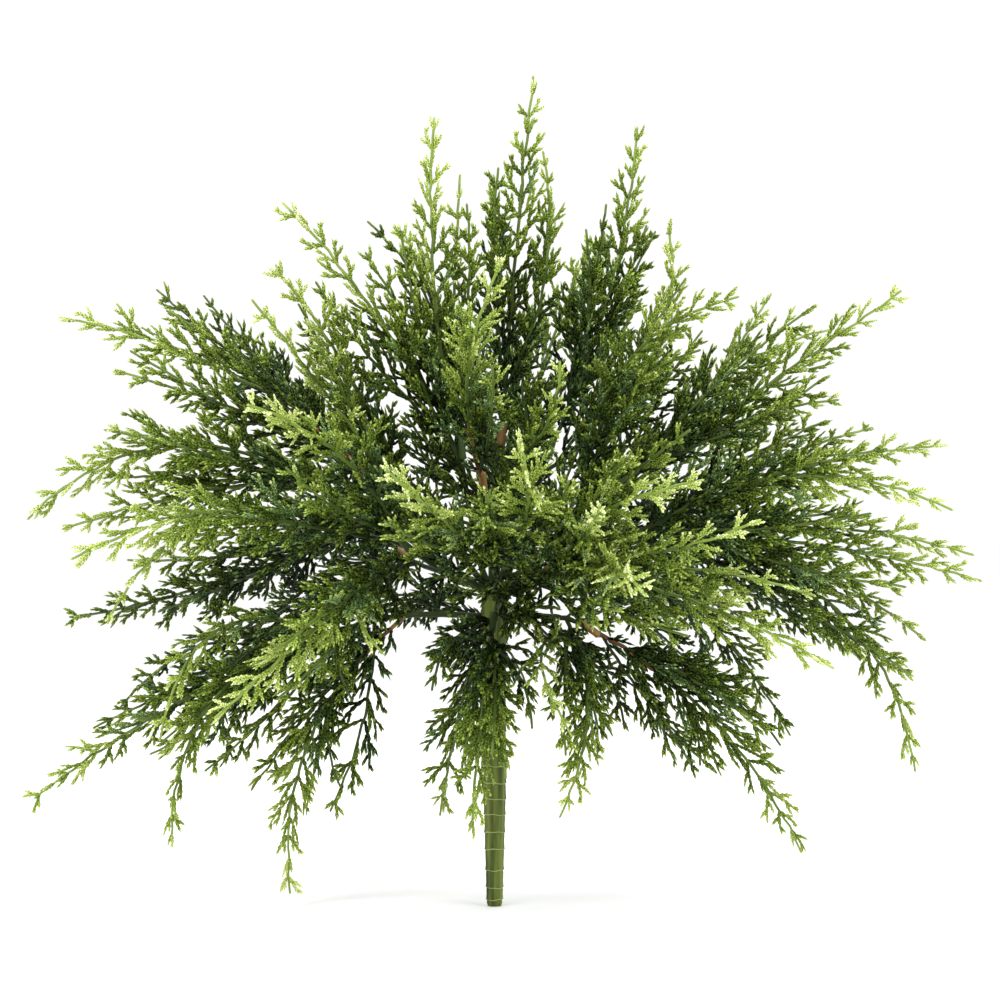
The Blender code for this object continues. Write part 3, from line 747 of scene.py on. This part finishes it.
for i in range(len(levels) - 1):
    for j in range(SIDES):
        a, b = i * SIDES + j, i * SIDES + (j + 1) % SIDES
        tris += [(a, b, b + SIDES), (a, b + SIDES, a + SIDES)]
        # the thin band of faces on each ring's lip gets a lighter plastic: a painted highlight line
        highlight_band = any(abs(levels[i][0] - z) < 0.00015 for z in rings_z) and levels[i + 1][0] - levels[i][0] < 0.0004
        stem_index += [1 if highlight_band else 0] * 2
low, high = len(verts), len(verts) + 1
verts += [(0, 0, 0), (0, 0, levels[-1][0])]
for j in range(SIDES):
    tris.append((low, (j + 1) % SIDES, j))
    tris.append((high, (len(levels) - 1) * SIDES + j, (len(levels) - 1) * SIDES + (j + 1) % SIDES))
stem_index += [0] * (len(tris) - len(stem_index))
# painted highlight colour for the lit lip of each ring
ring_highlight_mat = noisy("ring_painted_highlight", (0.270, 0.330, 0.110), 0.5, spec=0.2, bump=0.2)
ob = mesh_object("ringed_stem", verts, tris, [stem_mat, ring_highlight_mat], stem_index, True)
ob.data.set_sharp_from_angle(angle=math.radians(35))
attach(ob, "root")
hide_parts("stem", "fork_knob")
total += len(tris)
print("triangles", total)

# ------------------------------------------------------------ floor and light
floor_mat = bpy.data.materials.new("floor_white")
floor_mat.use_nodes = True
floor_mat.node_tree.nodes["Principled BSDF"].inputs["Base Color"].default_value = (0.98, 0.98, 0.98, 1)
floor_mat.node_tree.nodes["Principled BSDF"].inputs["Roughness"].default_value = 0.9
floor_mat.node_tree.nodes["Principled BSDF"].inputs["Specular IOR Level"].default_value = 0.1
me = bpy.data.meshes.new("floor")
half_f = 14.0
me.from_pydata([(-half_f, -half_f, -0.0002), (half_f, -half_f, -0.0002),
                (half_f, half_f, -0.0002), (-half_f, half_f, -0.0002)], [], [(0, 1, 2, 3)])
me.materials.append(floor_mat)
floor = bpy.data.objects.new("floor", me)
bpy.context.scene.collection.objects.link(floor)

world = bpy.data.worlds.new("studio")
world.use_nodes = True
world.node_tree.nodes["Background"].inputs["Color"].default_value = (1, 1, 1, 1)
world.node_tree.nodes["Background"].inputs["Strength"].default_value = 1.03
bpy.context.scene.world = world


def area(name, place, target, size, power):
    data = bpy.data.lights.new(name, "AREA")
    data.energy = power
    data.size = size
    ob = bpy.data.objects.new(name, data)
    ob.location = place
    ob.rotation_euler = (Vector(target) - Vector(place)).to_track_quat("-Z", "Y").to_euler()
    bpy.context.scene.collection.objects.link(ob)
    return ob


area("key", (-0.9, -1.3, 1.5), (0, 0, 0.2), 0.7, 26.0)
area("fill", (1.2, -1.1, 0.9), (0, 0, 0.2), 0.9, 12.0)
area("top", (0.1, 0.3, 1.6), (0, 0, 0.2), 0.9, 16.0)

cam_data = bpy.data.cameras.new("camera")
cam_data.sensor_width = 36.0
cam_data.lens = 36.0 * EYE_DISTANCE / (1000 * GRID)
cam_data.clip_start = 0.05
cam = bpy.data.objects.new("camera", cam_data)
cam.location = ((EYE_COL - FOOT_COL) * GRID, -EYE_DISTANCE, (FOOT_ROW - EYE_ROW) * GRID)
cam.rotation_euler = (math.radians(90), 0, 0)
bpy.context.scene.collection.objects.link(cam)
bpy.context.scene.camera = cam
bpy.context.scene.view_settings.view_transform = "Standard"
bpy.context.scene.view_settings.look = "None"
